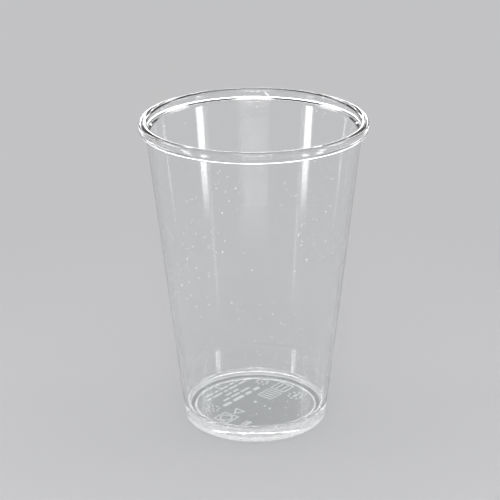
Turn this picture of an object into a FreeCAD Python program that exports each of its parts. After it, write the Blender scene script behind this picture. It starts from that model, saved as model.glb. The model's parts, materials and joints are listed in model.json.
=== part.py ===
import FreeCAD, Part
import math
import os

# A clear drinking tumbler, moulded in one piece, standing on z = 0 with its axis on Z.
# All sizes are in millimetres and all angles in degrees, except where a heading says otherwise.

# The cup as a whole
OVERALL_HEIGHT = 118.3
RIM_RADIUS = 42.0          # outermost face of the lip
BASE_RADIUS = 27.0         # outer wall carried down to the standing plane
WALL_THICKNESS = 1.4       # measured square to the axis

# The thickened lip, rounded above and below
LIP_OVERHANG = 2.4         # how far the lip stands out from the wall under it
LIP_OUTER_STRAIGHT = 1.3   # the upright part of its outside, between the two roundings
LIP_ROOT_FILLET = 0.4      # between the wall and the underside of the lip

# The sloping ledge inside, where the lip steps in to the bore
LEDGE_WIDTH = 0.9
LEDGE_DROP = 1.6
LIP_INNER_STRAIGHT = 1.75  # the upright face above the ledge
LEDGE_TOP_ROUNDING = 1.0
LEDGE_BOTTOM_ROUNDING = 1.5

# The base: a thick floor over a shallow recess that leaves a standing ring
FLOOR_THICKNESS = 4.7
FLOOR_FILLET = 1.5
RECESS_DEPTH = 1.5
RECESS_CORNER = 0.5
STANDING_RING_WIDTH = 4.0
FOOT_ROUNDING = 1.8

# The small bump that the moulding gate leaves in the middle of the recess
GATE_RADIUS = 0.9
GATE_HEIGHT = 0.5

# The raised marks in the recess
RELIEF_HEIGHT = 0.25
RELIEF_ROOT = 0.3          # how deep each mark reaches into the floor
RELIEF_ANGLE = 51.0        # from X to the direction of the rows

# Places and sizes in the layout of the marks, in hundredths of the flat radius of the recess.
# A place is given along the rows first and then across them.
LINE_WIDTH = 2.2
DOT_RADIUS = 2.0
SMALL_BAR = 4.0
LARGE_BAR = 7.0

# Rows of bars: place of the row, width of its bars, and the two ends of every bar
TEXT_ROWS = [
    (79, SMALL_BAR, [(-38, -20), (-16, -6), (-2, 20), (24, 36), (41, 53)]),
    (68, SMALL_BAR, [(-49, -37), (-33, -8), (-4, 5), (10, 33), (37, 56)]),
    (56, SMALL_BAR, [(-13, 3), (7, 21)]),
    (45, SMALL_BAR, [(-32, -15), (-11, 12), (16, 37)]),
    (32, LARGE_BAR, [(-47, -26), (-20, 7), (13, 28), (34, 49)]),
]

# The row of framed signs, which runs through the middle of the base
FRAME_SIDE = 31
RING_FRAME_PLACE = -78
BARS_FRAME_PLACE = 39
PAIR_FRAME_PLACE = 75
TRIANGLE_PLACE = -46
TRIANGLE_SIDE = 22

# The signs without a frame
DOTTED_SIGNS = [(-65, 40), (70, 41)]
DOTTED_SIGN_RADIUS = 10
ROUND_SIGN = (62, -39)
ROUND_SIGN_RADIUS = 12
DOTS_IN_RING = 8
BAR_SIGN = (-74, -43)
BAR_SIGN_LENGTH = 19
BAR_SIGN_GAP = 6
PAIR_OF_DOTS = [(-3, -23), (-5, -35)]
OPEN_RING = (6, 89)
OPEN_RING_RADIUS = 6.5
OPEN_RING_SWEEP = 270.0    # in degrees

# Sizes that follow from the ones above
LIP_WIDTH = LIP_OVERHANG + WALL_THICKNESS - LEDGE_WIDTH
LIP_ROUNDING = LIP_WIDTH / 2.0
LIP_INNER_RADIUS = RIM_RADIUS - LIP_WIDTH
LIP_BOTTOM_Z = OVERALL_HEIGHT - LIP_WIDTH - LIP_OUTER_STRAIGHT
LEDGE_TOP_Z = OVERALL_HEIGHT - LIP_ROUNDING - LIP_INNER_STRAIGHT
LEDGE_BOTTOM_Z = LEDGE_TOP_Z - LEDGE_DROP
WALL_TOP_RADIUS = RIM_RADIUS - LIP_OVERHANG
WALL_SLOPE = (WALL_TOP_RADIUS - BASE_RADIUS) / LIP_BOTTOM_Z
FLOOR_Z = RECESS_DEPTH + FLOOR_THICKNESS
RECESS_RADIUS = BASE_RADIUS - STANDING_RING_WIDTH
RECESS_FLAT_RADIUS = RECESS_RADIUS - RECESS_CORNER
LAYOUT_UNIT = RECESS_FLAT_RADIUS / 100.0


def inner_radius(z):
    """Radius of the bore at height z."""
    return BASE_RADIUS + WALL_SLOPE * z - WALL_THICKNESS


def at(radius, z):
    """A point of the section, which is drawn in the XZ plane."""
    return FreeCAD.Vector(radius, 0.0, z)


def corner_arc(before, corner, after, radius):
    """The rounding of one corner of the section: its start, the point midway along it and its end."""
    to_before = (before - corner).normalize()
    to_after = (after - corner).normalize()
    half_angle = to_before.getAngle(to_after) / 2.0
    reach = radius / math.tan(half_angle)
    start = corner + to_before * reach
    end = corner + to_after * reach
    to_centre = (to_before + to_after).normalize()
    middle = corner + to_centre * (radius / math.sin(half_angle) - radius)
    return start, middle, end


def cup_section():
    """The closed section of the cup, from the axis out over the base, up the wall and back down."""
    corners = [
        (at(0.0, RECESS_DEPTH), 0.0),
        (at(RECESS_RADIUS, RECESS_DEPTH), RECESS_CORNER),
        (at(RECESS_RADIUS, 0.0), RECESS_CORNER),
        (at(BASE_RADIUS, 0.0), FOOT_ROUNDING),
        (at(WALL_TOP_RADIUS, LIP_BOTTOM_Z), LIP_ROOT_FILLET),
        (at(RIM_RADIUS, LIP_BOTTOM_Z), LIP_ROUNDING),
        (at(RIM_RADIUS, OVERALL_HEIGHT), LIP_ROUNDING),
        (at(LIP_INNER_RADIUS, OVERALL_HEIGHT), LIP_ROUNDING),
        (at(LIP_INNER_RADIUS, LEDGE_TOP_Z), LEDGE_TOP_ROUNDING),
        (at(inner_radius(LEDGE_BOTTOM_Z), LEDGE_BOTTOM_Z), LEDGE_BOTTOM_ROUNDING),
        (at(inner_radius(FLOOR_Z), FLOOR_Z), FLOOR_FILLET),
        (at(0.0, FLOOR_Z), 0.0),
    ]
    edges = []
    count = len(corners)
    pen = corners[0][0]
    for index in range(1, count):
        corner, radius = corners[index]
        if radius:
            before = corners[index - 1][0]
            after = corners[(index + 1) % count][0]
            start, middle, end = corner_arc(before, corner, after, radius)
            if start.distanceToPoint(pen) > 1e-6:
                edges.append(Part.makeLine(pen, start))
            edges.append(Part.Arc(start, middle, end).toShape())
            pen = end
        else:
            edges.append(Part.makeLine(pen, corner))
            pen = corner
    edges.append(Part.makeLine(pen, corners[0][0]))
    return Part.Face(Part.Wire(edges))


def cup_body():
    """The plain cup, turned from its section about the Z axis."""
    return cup_section().revolve(FreeCAD.Vector(0, 0, 0), FreeCAD.Vector(0, 0, 1), 360)


def layout_point(u, v):
    """A place of the layout, on the level that the marks stand down to."""
    return FreeCAD.Vector(u * LAYOUT_UNIT, v * LAYOUT_UNIT, RECESS_DEPTH - RELIEF_HEIGHT)


def raised_mark(outline, holes=()):
    """A flat mark that stands down from the recess, given its outline and any hole outlines in it."""
    face = Part.makeFace([outline, *holes], "Part::FaceMakerBullseye")
    return face.extrude(FreeCAD.Vector(0, 0, RELIEF_HEIGHT + RELIEF_ROOT))


def polygon(places):
    """A closed outline through places of the layout."""
    corners = [layout_point(u, v) for u, v in places]
    return Part.makePolygon(corners + corners[:1])


def disc(u, v, radius):
    """A round outline."""
    return Part.Wire(Part.makeCircle(radius * LAYOUT_UNIT, layout_point(u, v)))


def bar(start, end, v, width):
    """A bar along its row, from one end to the other."""
    low = v - width / 2.0
    high = v + width / 2.0
    return raised_mark(polygon([(start, low), (end, low), (end, high), (start, high)]))


def centred_bar(u, v, length, width):
    """A bar given by its middle."""
    return bar(u - length / 2.0, u + length / 2.0, v, width)


def dot(u, v):
    """A small round dot."""
    return raised_mark(disc(u, v, DOT_RADIUS))


def ring(u, v, radius):
    """A thin ring, its radius measured to the outside of its line."""
    return raised_mark(disc(u, v, radius), [disc(u, v, radius - LINE_WIDTH)])


def ring_of_dots(u, v, radius):
    """Evenly spaced dots round a place."""
    dots = []
    for index in range(DOTS_IN_RING):
        angle = 2.0 * math.pi * index / DOTS_IN_RING
        dots.append(dot(u + radius * math.cos(angle), v + radius * math.sin(angle)))
    return dots


def regular_outline(u, v, side, count, turn):
    """A regular polygon with one corner at the angle turn."""
    reach = side / 2.0 / math.sin(math.pi / count)
    places = []
    for index in range(count):
        angle = math.radians(turn + 360.0 * index / count)
        places.append((u + reach * math.cos(angle), v + reach * math.sin(angle)))
    return polygon(places)


def regular_frame(u, v, side, count, turn):
    """A thin frame along the sides of a regular polygon, given its outer side."""
    inner_side = side - 2.0 * LINE_WIDTH * math.tan(math.pi / count)
    outer = regular_outline(u, v, side, count, turn)
    return raised_mark(outer, [regular_outline(u, v, inner_side, count, turn)])


def square_frame(u):
    """A square frame in the row of framed signs, with its sides along the rows."""
    return regular_frame(u, 0.0, FRAME_SIDE, 4, 45.0)


def open_ring(u, v, radius):
    """A thin ring with a gap in it."""
    inner = radius - LINE_WIDTH
    sweep = math.radians(OPEN_RING_SWEEP)
    centre = layout_point(u, v)
    axis = FreeCAD.Vector(0, 0, 1)
    outer_arc = Part.makeCircle(radius * LAYOUT_UNIT, centre, axis, 0, OPEN_RING_SWEEP)
    inner_arc = Part.makeCircle(inner * LAYOUT_UNIT, centre, axis, 0, OPEN_RING_SWEEP)
    first_end = Part.makeLine(layout_point(u + inner, v), layout_point(u + radius, v))
    last_end = Part.makeLine(
        layout_point(u + radius * math.cos(sweep), v + radius * math.sin(sweep)),
        layout_point(u + inner * math.cos(sweep), v + inner * math.sin(sweep)),
    )
    return raised_mark(Part.Wire([first_end, outer_arc, last_end, inner_arc]))


def text_rows():
    """Rows of bars, like lines of small print."""
    return [bar(start, end, v, width) for v, width, ends in TEXT_ROWS for start, end in ends]


def framed_signs():
    """Three square frames, one round a ring, one round three bars and one round two, and a triangle."""
    inside = FRAME_SIDE - 4.0 * LINE_WIDTH
    signs = [square_frame(RING_FRAME_PLACE), ring(RING_FRAME_PLACE, 0.0, inside / 2.0)]
    signs.append(square_frame(BARS_FRAME_PLACE))
    for step in (-1, 0, 1):
        u = BARS_FRAME_PLACE + step * inside / 3.0
        signs.append(centred_bar(u, 0.0, LINE_WIDTH, inside))
    signs.append(square_frame(PAIR_FRAME_PLACE))
    for v in (-inside / 4.0, inside / 4.0):
        signs.append(centred_bar(PAIR_FRAME_PLACE, v, inside, LINE_WIDTH))
    signs.append(regular_frame(TRIANGLE_PLACE, 0.0, TRIANGLE_SIDE, 3, 90.0))
    return signs


def plain_signs():
    """The signs that have no frame."""
    signs = []
    for u, v in DOTTED_SIGNS:
        signs.append(dot(u, v))
        signs.extend(ring_of_dots(u, v, DOTTED_SIGN_RADIUS))
    u, v = ROUND_SIGN
    signs.append(centred_bar(u, v, ROUND_SIGN_RADIUS, SMALL_BAR))
    signs.extend(ring_of_dots(u, v, ROUND_SIGN_RADIUS))
    u, v = BAR_SIGN
    signs.append(centred_bar(u, v, BAR_SIGN_LENGTH, SMALL_BAR))
    signs.append(centred_bar(u, v + BAR_SIGN_GAP, BAR_SIGN_LENGTH, LINE_WIDTH))
    signs.extend(dot(u, v) for u, v in PAIR_OF_DOTS)
    u, v = OPEN_RING
    signs.append(open_ring(u, v, OPEN_RING_RADIUS))
    return signs


def gate_bump():
    """The bump at the gate, a short cone that widens into the floor."""
    tip = FreeCAD.Vector(0, 0, RECESS_DEPTH - GATE_HEIGHT)
    return Part.makeCone(GATE_RADIUS / 2.0, GATE_RADIUS, GATE_HEIGHT + RELIEF_ROOT, tip)


def tumbler():
    """The finished cup: the turned body with its gate bump and raised marks."""
    marks = text_rows() + framed_signs() + plain_signs()
    for mark in marks:
        mark.rotate(FreeCAD.Vector(0, 0, 0), FreeCAD.Vector(0, 0, 1), RELIEF_ANGLE)
    return cup_body().fuse(marks + [gate_bump()]).removeSplitter()


cup = tumbler()
print("solids", len(cup.Solids), "valid", cup.isValid())
print("volume in cubic mm", round(cup.Volume, 1), "height", round(cup.BoundBox.ZLength, 3))
os.makedirs("parts", exist_ok=True)
cup.exportStep("parts/tumbler_cup.step")
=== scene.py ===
# %% [markdown]
# # A clear plastic drinking tumbler
#
# The cup is one piece of clear plastic, moulded in a single shot: a tapered wall, a thick round
# lip with a small ledge inside, and a heavy floor that stands on a ring. With clear plastic the
# shape does almost all the work, because every edge bends the light. So most of the effort goes
# into a true section, and the material only adds what handling and moulding leave behind.

# %% Load the packed cup
import bmesh
import bpy
import json
import math
from mathutils import Matrix, Vector

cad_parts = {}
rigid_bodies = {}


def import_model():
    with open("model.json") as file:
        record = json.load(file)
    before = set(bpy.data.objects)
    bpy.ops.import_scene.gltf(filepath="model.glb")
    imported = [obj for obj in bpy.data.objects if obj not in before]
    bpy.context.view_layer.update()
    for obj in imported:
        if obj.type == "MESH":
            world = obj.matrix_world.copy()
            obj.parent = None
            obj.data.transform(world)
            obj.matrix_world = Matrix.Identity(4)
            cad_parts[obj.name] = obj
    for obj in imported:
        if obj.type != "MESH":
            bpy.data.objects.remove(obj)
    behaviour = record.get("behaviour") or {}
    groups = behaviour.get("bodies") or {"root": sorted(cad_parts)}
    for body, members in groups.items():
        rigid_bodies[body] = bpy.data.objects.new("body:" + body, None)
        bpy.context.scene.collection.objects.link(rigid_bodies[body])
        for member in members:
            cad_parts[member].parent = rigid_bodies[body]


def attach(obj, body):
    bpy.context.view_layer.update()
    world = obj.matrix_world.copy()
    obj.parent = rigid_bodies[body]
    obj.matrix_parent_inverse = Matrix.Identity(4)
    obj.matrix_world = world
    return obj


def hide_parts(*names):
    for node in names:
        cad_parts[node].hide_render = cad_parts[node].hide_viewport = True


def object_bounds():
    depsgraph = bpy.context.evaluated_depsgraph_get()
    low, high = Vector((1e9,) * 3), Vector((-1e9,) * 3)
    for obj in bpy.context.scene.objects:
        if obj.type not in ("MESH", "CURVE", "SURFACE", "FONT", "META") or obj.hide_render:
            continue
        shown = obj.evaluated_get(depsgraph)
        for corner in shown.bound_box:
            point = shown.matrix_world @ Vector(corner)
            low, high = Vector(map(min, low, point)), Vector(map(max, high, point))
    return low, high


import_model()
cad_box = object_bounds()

MM = 0.001
scene = bpy.context.scene
print("box", [tuple(round(c, 4) for c in corner) for corner in cad_box])

# %% [markdown]
# ## The camera
#
# A long lens, a little above the rim and some way off, gives the calm, nearly parallel sides of a
# product picture. The place and the lens were found by fitting the outline of the cup: the lip,
# the wall and the front of the base. A camera looks down its own -Z axis, so it is first tipped
# up from the floor, then turned.

# %% Camera
CAMERA_BACK = 0.6327
CAMERA_HEIGHT = 0.3083
CAMERA_DIP = math.radians(20.875)
CAMERA_TURN = math.radians(0.156)
CAMERA_ROLL = math.radians(-0.403)
LENS_MM = 130.28
SENSOR_MM = 36.0
NEAREST_SEEN = 0.01

camera = bpy.data.objects.new("camera", bpy.data.cameras.new("camera"))
scene.collection.objects.link(camera)
scene.camera = camera
camera.data.sensor_width = SENSOR_MM
camera.data.lens = LENS_MM
camera.data.clip_start = NEAREST_SEEN
camera_turn = (
    Matrix.Rotation(CAMERA_TURN, 4, "Z")
    @ Matrix.Rotation(math.pi / 2 - CAMERA_DIP, 4, "X")
    @ Matrix.Rotation(CAMERA_ROLL, 4, "Z")
)
camera.matrix_world = Matrix.Translation((0.0, -CAMERA_BACK, CAMERA_HEIGHT)) @ camera_turn
print("camera at", tuple(round(c, 3) for c in camera.location), "lens", LENS_MM)

# %% [markdown]
# ## The section
#
# A moulded cup is round, so one half section says everything. It is drawn as a chain of sharp
# corners in the XZ plane, each with the radius that the mould gives it. The chain starts at the
# edge of the flat recess under the base, goes out and up the wall, over the lip, down the bore
# and ends at the flat floor. The rim and the height are read from the packed cup, so the two
# models can't drift apart.

# %% Sizes of the section
low_corner, high_corner = cad_box
RIM_RADIUS = min(high_corner.x - low_corner.x, high_corner.y - low_corner.y) / 2
CUP_HEIGHT = high_corner.z
BASE_RADIUS = 27.0 * MM
WALL = 1.4 * MM
LIP_WIDTH = 2.9 * MM
LIP_OVERHANG = 2.4 * MM
LIP_BOTTOM = CUP_HEIGHT - 4.2 * MM
LEDGE_TOP = CUP_HEIGHT - 3.2 * MM
LEDGE_BOTTOM = CUP_HEIGHT - 4.8 * MM
RECESS_TOP = 1.5 * MM
RECESS_RADIUS = 23.0 * MM
FLOOR_TOP = 6.2 * MM

LIP_CORNER = LIP_WIDTH / 2
UNDER_LIP_CORNER = 0.4 * MM
LEDGE_TOP_CORNER = 1.0 * MM
LEDGE_FOOT_CORNER = 1.5 * MM
FLOOR_CORNER = 1.5 * MM
FOOT_CORNER = 1.8 * MM
RECESS_CORNER = 0.5 * MM
print("rim radius", round(RIM_RADIUS / MM, 2), "mm, height", round(CUP_HEIGHT / MM, 2), "mm")

# %% Corners of the section
FLAT_LEAD = 1.0 * MM  # a short flat run before the first arc and after the last
wall_top_radius = RIM_RADIUS - LIP_OVERHANG
wall_slope = (wall_top_radius - BASE_RADIUS) / LIP_BOTTOM
lip_inner_radius = RIM_RADIUS - LIP_WIDTH
recess_flat_radius = RECESS_RADIUS - RECESS_CORNER


def bore_radius(z):
    return BASE_RADIUS + wall_slope * z - WALL


# each corner is radius from the axis, height, and the rounding it gets
section_corners = [
    (recess_flat_radius - FLAT_LEAD, RECESS_TOP, 0.0),
    (RECESS_RADIUS, RECESS_TOP, RECESS_CORNER),
    (RECESS_RADIUS, 0.0, RECESS_CORNER),
    (BASE_RADIUS, 0.0, FOOT_CORNER),
    (wall_top_radius, LIP_BOTTOM, UNDER_LIP_CORNER),
    (RIM_RADIUS, LIP_BOTTOM, LIP_CORNER),
    (RIM_RADIUS, CUP_HEIGHT, LIP_CORNER),
    (lip_inner_radius, CUP_HEIGHT, LIP_CORNER),
    (lip_inner_radius, LEDGE_TOP, LEDGE_TOP_CORNER),
    (bore_radius(LEDGE_BOTTOM), LEDGE_BOTTOM, LEDGE_FOOT_CORNER),
    (bore_radius(FLOOR_TOP), FLOOR_TOP, FLOOR_CORNER),
    (bore_radius(FLOOR_TOP) - FLOOR_CORNER - FLAT_LEAD, FLOOR_TOP, 0.0),
]
print("section of", len(section_corners), "corners")

# %% [markdown]
# ## Rounding the corners
#
# A vertex bevel on the bare chain turns each sharp corner into an arc. It is measured along the
# edges, so the radius is first turned into the distance from the corner to where the arc begins.
# Long straight runs are then cut into short ones, so that smooth shading at the end of an arc
# can't spread up the wall.

# %% Draw and round the section
ARC_STEPS = 14
LONGEST_RUN = 3.0 * MM
SAME_POINT = 0.002 * MM


def arc_reach(before, corner, after, radius):
    half_angle = (before - corner).angle(after - corner) / 2
    return radius / math.tan(half_angle)


def round_off(made, parts, reach, steps, affect):
    """Bevels vertices or edges into arcs."""
    bmesh.ops.bevel(
        made, geom=parts, offset=reach, offset_type="OFFSET", segments=steps, profile=0.5,
        affect=affect, clamp_overlap=affect == "EDGES", material=-1,
    )


cup_mesh = bmesh.new()
chain = [cup_mesh.verts.new((r, 0.0, z)) for r, z, _ in section_corners]
for near, far in zip(chain, chain[1:]):
    cup_mesh.edges.new((near, far))
places = [vertex.co.copy() for vertex in chain]
for index in range(1, len(chain) - 1):
    reach = arc_reach(*places[index - 1:index + 2], section_corners[index][2])
    round_off(cup_mesh, [chain[index]], reach, ARC_STEPS, "VERTICES")
bmesh.ops.remove_doubles(cup_mesh, verts=cup_mesh.verts, dist=SAME_POINT)
for edge in [e for e in cup_mesh.edges if e.calc_length() > LONGEST_RUN]:
    bmesh.ops.subdivide_edges(cup_mesh, edges=[edge], cuts=int(edge.calc_length() / LONGEST_RUN))
print("section drawn with", len(cup_mesh.verts), "points")

# %% [markdown]
# ## Turning the cup
#
# Spin sweeps the section round the axis, as a lathe would. A full turn is merged where it meets
# itself. That leaves two round holes, the flat floor and the flat recess, and each is closed with
# one flat face. A fine turn matters here: every facet of a clear cup would show as a stripe in
# what it bends.

# %% Spin the section
FULL_TURN = 2 * math.pi
TURN_STEPS = 360
SEAM_GAP = 0.001 * MM


def open_edges(made):
    return sum(not edge.is_manifold for edge in made.edges)


def cubic_mm(made):
    return round(made.calc_volume() / MM ** 3)


bmesh.ops.spin(
    cup_mesh, geom=cup_mesh.verts[:] + cup_mesh.edges[:], cent=(0, 0, 0), axis=(0, 0, 1),
    angle=FULL_TURN, steps=TURN_STEPS, use_merge=True,
)
bmesh.ops.remove_doubles(cup_mesh, verts=cup_mesh.verts, dist=SEAM_GAP)
bmesh.ops.holes_fill(cup_mesh, edges=[e for e in cup_mesh.edges if e.is_boundary], sides=0)
bmesh.ops.recalc_face_normals(cup_mesh, faces=cup_mesh.faces)
print("turned body:", len(cup_mesh.faces), "faces,", open_edges(cup_mesh), "open edges, volume",
      cubic_mm(cup_mesh), "cubic mm")

# %% [markdown]
# ## Raised marks under the base
#
# The mould has small signs and lines of print cut into it, which stand out from the recess by a
# quarter of a millimetre. Here they are plain shapes: bars, frames, rings and dots. Each starts
# as a flat outline made by a circle or grid operator, in a layout whose unit is a hundredth of
# the flat radius of the recess. Working flat first means that one extrusion can later give all of
# them the same height.

# %% Bars and dots
LAYOUT_UNIT = recess_flat_radius / 100
BAR_END_SHARE = 0.42  # of the bar's width, so that its ends come out nearly round
BAR_END_STEPS = 4
DOT_RADIUS = 2.0
DOT_SIDES = 16
DOTS_ROUND = 8
marks = bmesh.new()


def place_mark(vertices, u, v):
    bmesh.ops.scale(marks, verts=vertices, vec=(LAYOUT_UNIT,) * 3)
    bmesh.ops.translate(marks, verts=vertices, vec=(u * LAYOUT_UNIT, v * LAYOUT_UNIT, 0.0))


def flat_bar(u, v, length, width):
    made = bmesh.ops.create_grid(marks, x_segments=1, y_segments=1, size=0.5)["verts"]
    bmesh.ops.scale(marks, verts=made, vec=(length, width, 1.0))
    before = set(marks.verts) - set(made)
    round_off(marks, made, BAR_END_SHARE * min(width, length), BAR_END_STEPS, "VERTICES")
    place_mark([vertex for vertex in marks.verts if vertex not in before], u, v)


def flat_dot(u, v):
    made = bmesh.ops.create_circle(marks, cap_ends=True, segments=DOT_SIDES, radius=DOT_RADIUS)
    place_mark(made["verts"], u, v)


def dot_circle(u, v, radius):
    for step in range(DOTS_ROUND):
        angle = FULL_TURN * step / DOTS_ROUND
        flat_dot(u + radius * math.cos(angle), v + radius * math.sin(angle))


print("one layout unit is", round(LAYOUT_UNIT / MM, 3), "mm")

# %% Rings and frames
LINE = 2.2
RING_SIDES = 32
STAND_UP = {3: math.pi / 2, 4: math.pi / 4}  # the turn that sets a frame on one of its sides


def flat_ring(u, v, radius, sweep=1.0):
    """A ring, or the first part of its turn where sweep is less than 1."""
    outer, inner = (
        bmesh.ops.create_circle(marks, cap_ends=False, segments=RING_SIDES, radius=r)["verts"]
        for r in (radius, radius - LINE)
    )
    rims = {edge for vertex in outer + inner for edge in vertex.link_edges}
    faces = bmesh.ops.bridge_loops(marks, edges=list(rims))["faces"]
    turns = [math.atan2(*face.calc_center_median().yx) / FULL_TURN % 1.0 for face in faces]
    gap = [face for face, turn in zip(faces, turns) if turn > sweep]
    place_mark(outer + inner, u, v)
    bmesh.ops.delete(marks, geom=gap, context="FACES")


def flat_frame(u, v, side, corners):
    """A frame of one line's width, a triangle or a square."""
    reach = side / 2 / math.sin(math.pi / corners)
    made = bmesh.ops.create_circle(marks, cap_ends=True, segments=corners, radius=reach)["verts"]
    turn = Matrix.Rotation(STAND_UP[corners], 3, "Z")
    bmesh.ops.rotate(marks, verts=made, cent=(0, 0, 0), matrix=turn)
    face = made[0].link_faces[0]
    bmesh.ops.inset_region(
        marks, faces=[face], thickness=LINE, use_even_offset=True, use_boundary=True,
    )
    inside = list(face.verts)
    bmesh.ops.delete(marks, geom=[face], context="FACES_ONLY")
    place_mark(made + inside, u, v)


print("lines are", round(LINE * LAYOUT_UNIT / MM, 2), "mm wide")

# %% [markdown]
# ## Laying out the marks
#
# Print on a moulding sits in rows, so each word becomes one bar as long as the word. The signs
# keep their places and sizes and lose their meaning: three framed signs and a triangle across the
# middle, two dials of dots above them, and a few bars and rings of dots below. All places are
# measured from the middle of the base, along and up the rows.

# %% Rows of print
PRINT_WIDTH = 4.0
HEADLINE_WIDTH = 7.0

# each row is its height, the width of its bars, and where each bar starts and ends
text_rows = [
    (79, PRINT_WIDTH, [(-38, -20), (-16, -6), (-2, 20), (24, 36), (41, 53)]),
    (68, PRINT_WIDTH, [(-49, -37), (-33, -8), (-4, 5), (10, 33), (37, 56)]),
    (56, PRINT_WIDTH, [(-13, 3), (7, 21)]),
    (45, PRINT_WIDTH, [(-32, -15), (-11, 12), (16, 37)]),
    (32, HEADLINE_WIDTH, [(-47, -26), (-20, 7), (13, 28), (34, 49)]),
]
for v, width, ends in text_rows:
    for start, end in ends:
        flat_bar((start + end) / 2, v, end - start, width)
print("print:", len(marks.faces), "bars")

# %% Signs
RING_FRAME, POST_FRAME, STEP_FRAME = -78, 39, 75
FRAME_SIDE = 31
frame_inside = FRAME_SIDE - 4 * LINE
TRIANGLE_PLACE = (-46, 0)
TRIANGLE_SIDE = 22
DIALS = [(-65, 40), (70, 41)]
DIAL_RADIUS = 10
DOTTED_SIGN = (62, -39)
DOTTED_RADIUS = 12
SIGN_BAR = 12
LINED_BAR = (-74, -43)
LINED_LENGTH = 19
LINE_GAP = 6
LOOSE_DOTS = [(-3, -23), (-5, -35)]
OPEN_RING = (6, 89)
OPEN_RING_RADIUS = 6.5
OPEN_RING_SWEEP = 0.75

for u in (RING_FRAME, POST_FRAME, STEP_FRAME):
    flat_frame(u, 0, FRAME_SIDE, 4)
flat_ring(RING_FRAME, 0, frame_inside / 2)
for step in (-1, 0, 1):
    flat_bar(POST_FRAME + step * frame_inside / 3, 0, LINE, frame_inside)
for step in (-1, 1):
    flat_bar(STEP_FRAME, step * frame_inside / 4, frame_inside, LINE)
flat_frame(*TRIANGLE_PLACE, TRIANGLE_SIDE, 3)
for dial in DIALS:
    flat_dot(*dial)
    dot_circle(*dial, DIAL_RADIUS)
dot_circle(*DOTTED_SIGN, DOTTED_RADIUS)
flat_bar(*DOTTED_SIGN, SIGN_BAR, PRINT_WIDTH)
flat_bar(*LINED_BAR, LINED_LENGTH, PRINT_WIDTH)
flat_bar(LINED_BAR[0], LINED_BAR[1] + LINE_GAP, LINED_LENGTH, LINE)
for place in LOOSE_DOTS:
    flat_dot(*place)
flat_ring(*OPEN_RING, OPEN_RING_RADIUS, sweep=OPEN_RING_SWEEP)
print("flat outlines:", len(marks.faces), "faces")

# %% [markdown]
# ## Giving the marks their height
#
# The flat outlines start a little way inside the plastic and are extruded down until they stand
# proud of the recess, so each mark has a root for the union to bite into. A tiny bevel on the
# proud edges stands for the soft edge of an eroded mould, and catches the light. Last, the layout
# is turned to where the print faces on the real cup.

# %% Raise the marks
RELIEF_HEIGHT = 0.25 * MM
RELIEF_ROOT = 0.3 * MM
EDGE_SOFTNESS = 0.05 * MM
EDGE_STEPS = 2
LAYOUT_ANGLE = math.radians(51.0)

bmesh.ops.translate(marks, verts=marks.verts, vec=(0.0, 0.0, RECESS_TOP + RELIEF_ROOT))
raised = bmesh.ops.extrude_face_region(marks, geom=marks.faces[:])["geom"]
raised_vertices = [item for item in raised if isinstance(item, bmesh.types.BMVert)]
raised_faces = {item for item in raised if isinstance(item, bmesh.types.BMFace)}
bmesh.ops.translate(marks, verts=raised_vertices, vec=(0.0, 0.0, -RELIEF_ROOT - RELIEF_HEIGHT))
proud_edges = [
    edge for face in raised_faces for edge in face.edges
    if sum(f in raised_faces for f in edge.link_faces) == 1
]
round_off(marks, proud_edges, EDGE_SOFTNESS, EDGE_STEPS, "EDGES")
layout_turn = Matrix.Rotation(LAYOUT_ANGLE, 3, "Z")
bmesh.ops.rotate(marks, verts=marks.verts, cent=(0, 0, 0), matrix=layout_turn)
print("marks raised by", round(RELIEF_HEIGHT / MM, 2), "mm,", len(marks.faces), "faces")

# %% [markdown]
# ## The gate bump
#
# The plastic enters the mould in the middle of the base. Where it is snapped off it leaves a
# small blunt bump, which sits in the recess so that the cup still stands on its ring. It is a
# short cone with a rounded tip, rooted in the floor as the marks are.

# %% Gate bump
GATE_RADIUS = 0.9 * MM
GATE_HEIGHT = 0.5 * MM
GATE_SIDES = 32
TIP_ROUNDING = 0.15 * MM
TIP_STEPS = 4
FACES_DOWN = -0.9
gate_depth = GATE_HEIGHT + RELIEF_ROOT
gate = bmesh.ops.create_cone(
    marks, cap_ends=True, segments=GATE_SIDES, radius1=GATE_RADIUS / 2, radius2=GATE_RADIUS,
    depth=gate_depth,
    matrix=Matrix.Translation((0.0, 0.0, RECESS_TOP - GATE_HEIGHT + gate_depth / 2)),
)["verts"]
gate_faces = {face for vertex in gate for face in vertex.link_faces}
gate_tip = [face for face in gate_faces if face.normal.z < FACES_DOWN][0]
round_off(marks, list(gate_tip.edges), TIP_ROUNDING, TIP_STEPS, "EDGES")
bmesh.ops.recalc_face_normals(marks, faces=marks.faces)
print("marks and gate:", len(marks.faces), "faces,", open_edges(marks), "open edges")

# %% [markdown]
# ## Joining marks and cup
#
# If the marks only overlapped the floor, light would meet a hidden wall inside the plastic and
# the joint would show. A Boolean union melts them into one skin, which is what one shot of
# plastic is. The modifier is applied by reading the finished mesh back, and its two helpers are
# thrown away.

# %% Union


def object_from(made, name):
    mesh = bpy.data.meshes.new(name)
    made.to_mesh(mesh)
    made.free()
    thing = bpy.data.objects.new(name, mesh)
    scene.collection.objects.link(thing)
    return thing


turned_cup = object_from(cup_mesh, "turned_cup")
mark_blocks = object_from(marks, "mark_blocks")
union = turned_cup.modifiers.new("union", "BOOLEAN")
union.operation = "UNION"
union.solver = "EXACT"
union.object = mark_blocks
finished = turned_cup.evaluated_get(bpy.context.evaluated_depsgraph_get())
joined = bpy.data.meshes.new_from_object(finished)
for helper in (mark_blocks, turned_cup):
    bpy.data.objects.remove(helper)
joined.name = "tumbler"
tumbler = bpy.data.objects.new("tumbler", joined)
scene.collection.objects.link(tumbler)
print("joined mesh:", len(joined.polygons), "faces")

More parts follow.
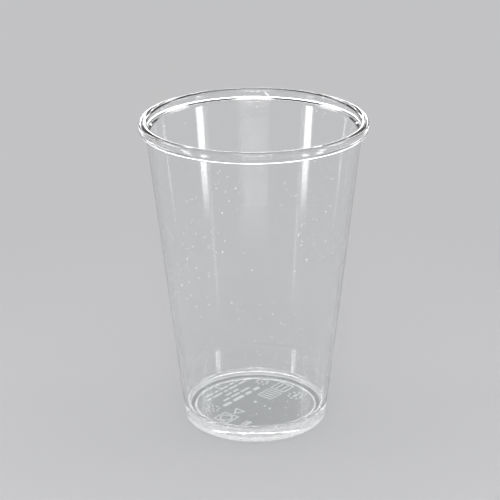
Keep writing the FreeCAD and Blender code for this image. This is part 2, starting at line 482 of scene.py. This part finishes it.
# %% [markdown]
# ## Three finishes on one skin
#
# A mould leaves polish on the walls, a matt bite on the raised marks, and use rubs the ring that
# the cup stands on. Painting masks would blur at such small edges, so each face gets its finish
# by where its middle lies. Every face but the level ones is shaded smooth, and an edge that turns
# by more than 35 degrees stays crisp.

# %% Shading and finishes
SHARPEST_SMOOTH = math.radians(35)
LEVEL = 0.99999
CLEAR, ETCHED, SCUFFED = 0, 1, 2
TOUCHES_TABLE = 0.25 * MM
BELOW_RECESS = RECESS_TOP - 0.01 * MM
MARKS_REACH = recess_flat_radius - 0.2 * MM
RECESS_WALL_REACH = 24.3 * MM


def finish_at(place):
    from_axis = place.xy.length
    if place.z < BELOW_RECESS and from_axis < MARKS_REACH:
        return ETCHED
    on_recess_wall = place.z < BELOW_RECESS and from_axis < RECESS_WALL_REACH
    return SCUFFED if on_recess_wall or place.z < TOUCHES_TABLE else CLEAR


for face in joined.polygons:
    face.use_smooth = abs(face.normal.z) < LEVEL
    face.material_index = finish_at(face.center)
joined.set_sharp_from_angle(angle=SHARPEST_SMOOTH)
by_finish = [sum(f.material_index == kind for f in joined.polygons) for kind in range(3)]
print("faces by finish:", by_finish)

# %% Check the skin and hand it over
check = bmesh.new()
check.from_mesh(joined)
print("tumbler:", len(check.faces), "faces,", open_edges(check), "open edges, volume",
      cubic_mm(check), "cubic mm,", sum(len(f.verts) - 2 for f in check.faces), "triangles")
check.free()
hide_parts("tumbler_cup")
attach(tumbler, "root")

# %% [markdown]
# ## Nodes in plain words
#
# A finish is a chain of small nodes, and so are the fade of a lamp and the colour of the sky.
# Linking them one by one hides the idea, so two small classes give each node a short name. The
# first works in any tree. The second adds what a finish needs: patterns on Object coordinates,
# which stay on the cup wherever it goes, and a bump that follows one of them.

# %% Nodes for any tree


class Nodes:
    """The small nodes of one tree: a finish, a lamp or the sky."""

    def __init__(self, tree):
        self.tree = tree

    def node(self, kind, **settings):
        made = self.tree.nodes.new(kind)
        for key, value in settings.items():
            setattr(made, key, value)
        return made

    def feed(self, source, socket):
        """Links another node's output, or writes a plain number or colour."""
        if hasattr(source, "is_output"):
            self.tree.links.new(source, socket)
        else:
            socket.default_value = source

    def filled(self, made, *sources):
        for source, socket in zip(sources, made.inputs):
            self.feed(source, socket)
        return made.outputs

    def maths(self, operation, first, second=0.0):
        return self.filled(self.node("ShaderNodeMath", operation=operation), first, second)[0]

    def axes(self, vector):
        return self.filled(self.node("ShaderNodeSeparateXYZ"), vector)

    def length(self, vector):
        made = self.node("ShaderNodeVectorMath", operation="LENGTH")
        return self.filled(made, vector)["Value"]

    def mixed(self, share, first, second):
        return self.filled(self.node("ShaderNodeMixShader"), share, first, second)[0]

    def ramp(self, value, low, high, to_low=0.0, to_high=1.0, kind="SMOOTHSTEP"):
        made = self.node("ShaderNodeMapRange", interpolation_type=kind)
        return self.filled(made, value, low, high, to_low, to_high)[0]

    def blend(self, share, first, second):
        made = self.node("ShaderNodeMix", data_type="RGBA")
        self.feed(share, made.inputs["Factor"])
        colours = [socket for socket in made.inputs if socket.type == "RGBA"]
        for source, socket in zip((first, second), colours):
            self.feed(source, socket)
        return [socket for socket in made.outputs if socket.type == "RGBA"][0]


print("helpers for a tree:", [name for name in vars(Nodes) if not name.startswith("_")])

# %% Nodes for a finish
SPECK_EDGE = 1.6  # a speck fades out between its radius and this many times it


class Finish(Nodes):
    """A material whose patterns lie on Object coordinates."""

    def __init__(self, name):
        self.material = bpy.data.materials.new(name)
        self.material.use_nodes = True
        super().__init__(self.material.node_tree)
        self.surface = self.tree.nodes["Principled BSDF"]
        self.where = self.node("ShaderNodeTexCoord").outputs["Object"]

    def set(self, **numbers):
        for name, number in numbers.items():
            self.feed(number, self.surface.inputs[name.replace("_", " ")])

    def show(self, shader):
        self.feed(shader, self.tree.nodes["Material Output"].inputs["Surface"])

    def stretched(self, scale):
        made = self.node("ShaderNodeMapping")
        made.inputs["Scale"].default_value = scale
        return self.filled(made, self.where)[0]

    def noise(self, scale, detail=2.0, roughness=0.5):
        made = self.node("ShaderNodeTexNoise")
        self.feed(self.stretched(scale), made.inputs["Vector"])
        self.feed(1.0, made.inputs["Scale"])
        self.feed(detail, made.inputs["Detail"])
        self.feed(roughness, made.inputs["Roughness"])
        return made.outputs["Fac"]

    def specks(self, cells, radius):
        made = self.node("ShaderNodeTexVoronoi", feature="F1", distance="EUCLIDEAN")
        self.feed(self.stretched((cells,) * 3), made.inputs["Vector"])
        self.feed(1.0, made.inputs["Scale"])
        return self.ramp(made.outputs["Distance"], radius, radius * SPECK_EDGE, 1.0, 0.0)

    def bump(self, height, distance):
        made = self.node("ShaderNodeBump")
        self.feed(1.0, made.inputs["Strength"])
        self.feed(distance, made.inputs["Distance"])
        self.feed(height, made.inputs["Height"])
        self.feed(made.outputs[0], self.surface.inputs["Normal"])


print("helpers for a finish:", [name for name in vars(Finish) if not name.startswith("_")])

# %% [markdown]
# ## Letting the lamps through
#
# Under real light a clear cup throws a pale shadow, because most of the light goes through it. A
# path tracer that skips caustics would make that shadow black. So for rays on their way to a
# lamp, and for rays that leave the table, the plastic acts as a thin grey filter, and the eye
# still sees the full bending surface.

# %% Plastic that lets the lamps through
PLASTIC_INDEX = 1.58
SHADOW_COLOUR = (0.90, 0.905, 0.905, 1.0)


def finish_plastic(skin):
    """The last step of every finish: its index, its shadow and its place on the mesh."""
    skin.set(IOR=PLASTIC_INDEX)
    path = skin.node("ShaderNodeLightPath")
    through = skin.node("ShaderNodeBsdfTransparent")
    skin.feed(SHADOW_COLOUR, through.inputs["Color"])
    shown = skin.surface.outputs[0]
    for ray in ("Is Shadow Ray", "Is Diffuse Ray"):
        shown = skin.mixed(path.outputs[ray], shown, through.outputs[0])
    skin.show(shown)
    joined.materials.append(skin.material)
    print("finish", skin.material.name, "has", len(skin.tree.nodes), "nodes")


# %% [markdown]
# ## Clear plastic: dust and a scuff
#
# The plastic is water-clear, so its shader is a Principled surface with full transmission and the
# refractive index of a hard clear polymer. What keeps it from looking like a drawing of glass is
# what handling leaves. A sparse dust of tiny specks gathers in patches, and the back of the lip
# has one short white scuff. A Voronoi pattern scatters the specks, and the scuff is a small
# tilted ellipsoid.

# %% Dust and scuff
DUST_CELLS = 300.0
DUST_RADIUS = 0.058
PATCH_SCALE = (30.0, 30.0, 30.0)
PATCH_LIMITS = (0.40, 0.56)
SCUFF_MIDDLE = (5.1 * MM, 38.85 * MM, 116.35 * MM)
SCUFF_TILT = math.radians(44)
SCUFF_REACH = (2.0 * MM, 1.6 * MM, 0.50 * MM)
SCUFF_SOLID = 0.6  # share of its reach that is fully white

clear = Finish("polished_plastic")
patches = clear.ramp(clear.noise(PATCH_SCALE), *PATCH_LIMITS)
dust = clear.maths("MULTIPLY", clear.specks(DUST_CELLS, DUST_RADIUS), patches)
scuff_place = clear.node("ShaderNodeMapping", vector_type="TEXTURE")
clear.filled(scuff_place, clear.where, SCUFF_MIDDLE, (0.0, SCUFF_TILT, 0.0), SCUFF_REACH)
scuff_distance = clear.length(scuff_place.outputs[0])
scuff = clear.ramp(scuff_distance, SCUFF_SOLID, 1.0, 1.0, 0.0)
white_specks = clear.maths("MAXIMUM", dust, scuff)
print("a cell of dust is", round(1.0 / DUST_CELLS / MM, 1), "mm wide")

# %% [markdown]
# ## Haze and painted glow on the foot
#
# The foot of such a cup looks white. Stacking and sliding rub its outside, and the thick plastic
# there gathers light. Both are shown as one fine white haze, so its whiteness is partly real wear
# and partly a painted glow for the light that the thick foot gathers. It is densest at the bottom
# and ends just above the floor of the cup. It lies on the outside only, so it starts beyond a
# radius, and an upright grain breaks it up a little.

# %% Foot haze and painted glow
FOOT_HAZE_AND_GLOW = 0.46
HAZE_AND_GLOW_HEIGHTS = (5.5 * MM, 8.0 * MM)
HAZE_AND_GLOW_RADII = (24.6 * MM, 25.2 * MM)
FOOT_GRAIN_SCALE = (500.0, 500.0, 1400.0)
FOOT_GRAIN_LIMITS = (0.3, 0.7)
WEAKEST_FOOT_GRAIN = 0.82

# the white haze is partly painted glow: it stands in for light gathered by the thick foot
low_down = clear.ramp(clear.axes(clear.where)["Z"], *HAZE_AND_GLOW_HEIGHTS, FOOT_HAZE_AND_GLOW, 0.0)
outside = clear.ramp(clear.length(clear.stretched((1.0, 1.0, 0.0))), *HAZE_AND_GLOW_RADII)
foot_grain = clear.ramp(clear.noise(FOOT_GRAIN_SCALE, detail=3.0), *FOOT_GRAIN_LIMITS, WEAKEST_FOOT_GRAIN, 1.0)
foot_haze_and_glow = clear.maths("MULTIPLY", clear.maths("MULTIPLY", low_down, outside), foot_grain)
whitened = clear.maths("MAXIMUM", white_specks, foot_haze_and_glow)
print("haze ends", round(HAZE_AND_GLOW_HEIGHTS[1] / MM, 1), "mm above the table")

# %% [markdown]
# ## Film, waves and flow lines
#
# A polished wall is never quite perfect. Fingers leave a faint film in patches, and the drag of
# the mould leaves fine upright lines that are a little less glossy: both only raise the roughness
# by a few hundredths. The wall itself is a few microns wavy, with finer upright flow lines where
# the plastic ran, and a bump that is never higher than about two hundredths of a millimetre gives
# both. White dust and the foot's haze, which is partly a painted glow, hide part of the clear
# plastic, so they take over its colour and most of its transmission.

# %% Polished plastic
WHITE = (1.0, 1.0, 1.0, 1.0)
PLASTIC_COLOUR = (0.972, 0.978, 0.979, 1.0)
POLISH = 0.010
FILM_SCALE = (28.0, 28.0, 16.0)
FILM_LIMITS = (0.52, 0.78)
DRAWN_SCALE = (900.0, 900.0, 9.0)
DRAWN_LIMITS = (0.55, 0.80)
WORN_ROUGHNESS = 0.03
DUST_ROUGHNESS = 0.5
LEAST_TRANSMISSION = 0.1
WAVE_SCALE = (18.0, 18.0, 7.0)
FLOW_SCALE = (450.0, 450.0, 5.0)
FLOW_SHARE = 0.35
WAVE_HEIGHT = 0.02 * MM

film = clear.ramp(clear.noise(FILM_SCALE, detail=4.0, roughness=0.6), *FILM_LIMITS)
drawn_lines = clear.ramp(clear.noise(DRAWN_SCALE), *DRAWN_LIMITS)
worn = clear.maths(
    "ADD",
    clear.maths("MULTIPLY", film, WORN_ROUGHNESS),
    clear.maths("MULTIPLY", drawn_lines, WORN_ROUGHNESS),
)
dusty = clear.maths("MULTIPLY", white_specks, DUST_ROUGHNESS)
flow_lines = clear.maths("MULTIPLY", clear.noise(FLOW_SCALE, detail=1.0), FLOW_SHARE)
waves = clear.maths("ADD", clear.noise(WAVE_SCALE, detail=0.0), flow_lines)
# base colour and transmission follow the white share: dust, the scuff, and the foot's haze with
# its painted glow
clear.set(
    Roughness=clear.maths("ADD", clear.maths("ADD", POLISH, worn), dusty),
    Base_Color=clear.blend(whitened, PLASTIC_COLOUR, WHITE),
    Transmission_Weight=clear.ramp(whitened, 0.0, 1.0, 1.0, LEAST_TRANSMISSION),
)
clear.bump(waves, WAVE_HEIGHT)
finish_plastic(clear)

# %% [markdown]
# ## Etched marks and the scuffed ring
#
# The signs are eroded into the mould with a matt finish, so they come out frosted and catch the
# light. The ring that the cup stands on, and the wall of the recess inside it, are rubbed white
# by tables and trays. Both are the same plastic with a rough, whitish skin that scatters all the
# light the eye gets from it, so one function makes both: a grain that drives roughness, tint and
# bump together. Transmission is off, because a rough clear skin would come out grey.

# %% Frosted finishes


def frosted(name, scale, detail, harshness, limits, roughnesses, tint, grain_height):
    skin = Finish(name)
    grain = skin.noise((scale,) * 3, detail=detail, roughness=harshness)
    skin.set(
        Roughness=skin.ramp(grain, *limits, *roughnesses),
        Base_Color=skin.blend(grain, tint, WHITE),
        Transmission_Weight=0.0,
    )
    skin.bump(grain, grain_height)
    finish_plastic(skin)


frosted(
    "etched_marks", scale=2600.0, detail=3.0, harshness=0.6, limits=(0.3, 0.7),
    roughnesses=(0.42, 0.62), tint=(0.93, 0.94, 0.94, 1.0), grain_height=0.03 * MM,
)
frosted(
    "scuffed_ring", scale=420.0, detail=5.0, harshness=0.7, limits=(0.35, 0.65),
    roughnesses=(0.18, 0.5), tint=(0.97, 0.975, 0.975, 1.0), grain_height=0.05 * MM,
)
print("materials:", [m.name for m in joined.materials])

# %% [markdown]
# ## The table
#
# The cup stands on a plain pale sheet. Near the cup it is a matt surface that takes the shadow.
# Farther out it glows evenly in its own colour for what the camera sees, straight or by way of
# the cup, because an uneven floor would show in every bend of the plastic. The glow isn't there
# for light on its way to a surface, so it doesn't light the cup.

# %% Table
TABLE_COLOUR = (0.54, 0.54, 0.55, 1.0)
TABLE_ROUGHNESS = 0.6
TABLE_HALF = 3.0
SHADOW_REACH = 0.13
EVEN_FROM = 0.24

table_mesh = bmesh.new()
bmesh.ops.create_grid(table_mesh, x_segments=1, y_segments=1, size=TABLE_HALF)
table = object_from(table_mesh, "table")

sheet = Finish("table_paint")
sheet.set(Base_Color=TABLE_COLOUR, Roughness=TABLE_ROUGHNESS, Specular_IOR_Level=0.0)
path = sheet.node("ShaderNodeLightPath")
seen = path.outputs["Is Camera Ray"]
for ray in ("Is Glossy Ray", "Is Transmission Ray"):
    seen = sheet.maths("MAXIMUM", seen, path.outputs[ray])
far = sheet.ramp(sheet.length(sheet.where), SHADOW_REACH, EVEN_FROM)
even = sheet.node("ShaderNodeEmission")
sheet.feed(TABLE_COLOUR, even.inputs["Color"])
evened = sheet.maths("MULTIPLY", far, seen)
sheet.show(sheet.mixed(evened, sheet.surface.outputs[0], even.outputs[0]))
table.data.materials.append(sheet.material)
print("table", 2 * TABLE_HALF, "m wide, even from", EVEN_FROM, "m")

# %% [markdown]
# ## The lamps
#
# Clear things are lit by what they reflect and bend, so every lamp is a soft panel with a job of
# its own. Two narrow strips close to the cup draw upright lines on the wall. Large panels at the
# sides and behind stand high, out of what a low view sees through the cup, and light the table. A
# wide low panel behind draws the white lines on the lip, the ledge and the ring. A small bright
# one in front finds the dust and the marks, and one overhead evens it all out. Real soft boxes
# fade at their edges, and so do these.

# %% Panels
EVEN_FADES = (0.25, 0.25)
MIDDLE = 0.5


def soft_panel(name, place, target, width, height, brightness, fades=EVEN_FADES):
    """A rectangle of even light that fades over a share of its width and height at each edge."""
    lamp = bpy.data.lights.new(name, "AREA")
    lamp.shape = "RECTANGLE"
    lamp.size = width
    lamp.size_y = height
    lamp.energy = brightness * math.pi * width * height
    lamp.use_nodes = True
    glow = Nodes(lamp.node_tree)
    across = glow.axes(glow.node("ShaderNodeNewGeometry").outputs["Parametric"])
    edges = [
        glow.ramp(glow.maths("PINGPONG", across[axis], MIDDLE), 0.0, share)
        for axis, share in zip("XY", fades)
    ]
    glow.feed(glow.maths("MULTIPLY", *edges), glow.tree.nodes["Emission"].inputs["Strength"])
    panel = bpy.data.objects.new(name, lamp)
    scene.collection.objects.link(panel)
    panel.location = place
    panel.rotation_euler = (Vector(target) - Vector(place)).to_track_quat("-Z", "Y").to_euler()
    panel.visible_camera = False


def upright_panel(name, bearing, distance, lowest, width, height, brightness, fades=EVEN_FADES):
    """Stands upright and faces the cup. The bearing is in degrees from the camera's side."""
    turn = math.radians(bearing)
    x, y = distance * math.sin(turn), -distance * math.cos(turn)
    middle = lowest + height / 2
    soft_panel(name, (x, y, middle), (0.0, 0.0, middle), width, height, brightness, fades)


print("panels fade over", EVEN_FADES, "of their sides")

# %% Place the lamps
CUP_MIDDLE = (0.0, 0.0, 0.06)
OVERHEAD_PLACE = (0.0, -0.62, 1.0)

# bearing in degrees; distance, lowest edge, width and height in metres; brightness; and the
# fades where they aren't the even ones
lamps = {
    "strip_left": (-67.5, 0.38, 0.0, 0.08, 0.24, 7.5, (0.3, 0.2)),
    "strip_right": (66.0, 0.38, 0.0, 0.08, 0.24, 7.5, (0.3, 0.2)),
    "side_left": (-98.0, 1.0, 0.45, 0.6, 0.7, 5.0),
    "side_right": (98.0, 1.0, 0.45, 0.6, 0.7, 5.0),
    "wing_left": (-135.0, 1.05, 0.80, 0.7, 0.5, 4.5),
    "wing_right": (135.0, 1.05, 0.80, 0.7, 0.5, 4.5),
    "panel_back": (180.0, 1.05, 0.12, 1.9, 0.27, 8.0, (0.3, 0.25)),
    "panel_front": (0.0, 1.1, 0.40, 0.5, 0.25, 15.0),
}
for name, settings in lamps.items():
    upright_panel(name, *settings)
soft_panel("panel_top", OVERHEAD_PLACE, CUP_MIDDLE, width=0.8, height=0.4, brightness=7.5)
print(len(lamps) + 1, "lamps")

# %% [markdown]
# ## The surroundings
#
# Past the table the eye meets the sky of the scene. Low down it has the colour of the table, so
# that no horizon shows through the cup. High up it is nearly black, which gives the lip and the
# walls something dark to mirror, and lets the lamps alone decide how bright the cup is. The
# Standard view shows a colour about as it is written.

# %% Sky and view
HIGH_SKY = (0.08, 0.08, 0.085, 1.0)
SKY_FADE = (0.40, 0.62)  # upward share of a direction, where pale ends and where dark begins

scene.world = bpy.data.worlds.new("world")
scene.world.use_nodes = True
sky = Nodes(scene.world.node_tree)
direction = sky.node("ShaderNodeTexCoord").outputs["Generated"]
climb = sky.ramp(sky.axes(direction)["Z"], *SKY_FADE, kind="LINEAR")
sky.feed(sky.blend(climb, TABLE_COLOUR, HIGH_SKY), sky.tree.nodes["Background"].inputs["Color"])
scene.view_settings.view_transform = "Standard"
print("sky turns dark between", SKY_FADE)

# %% [markdown]
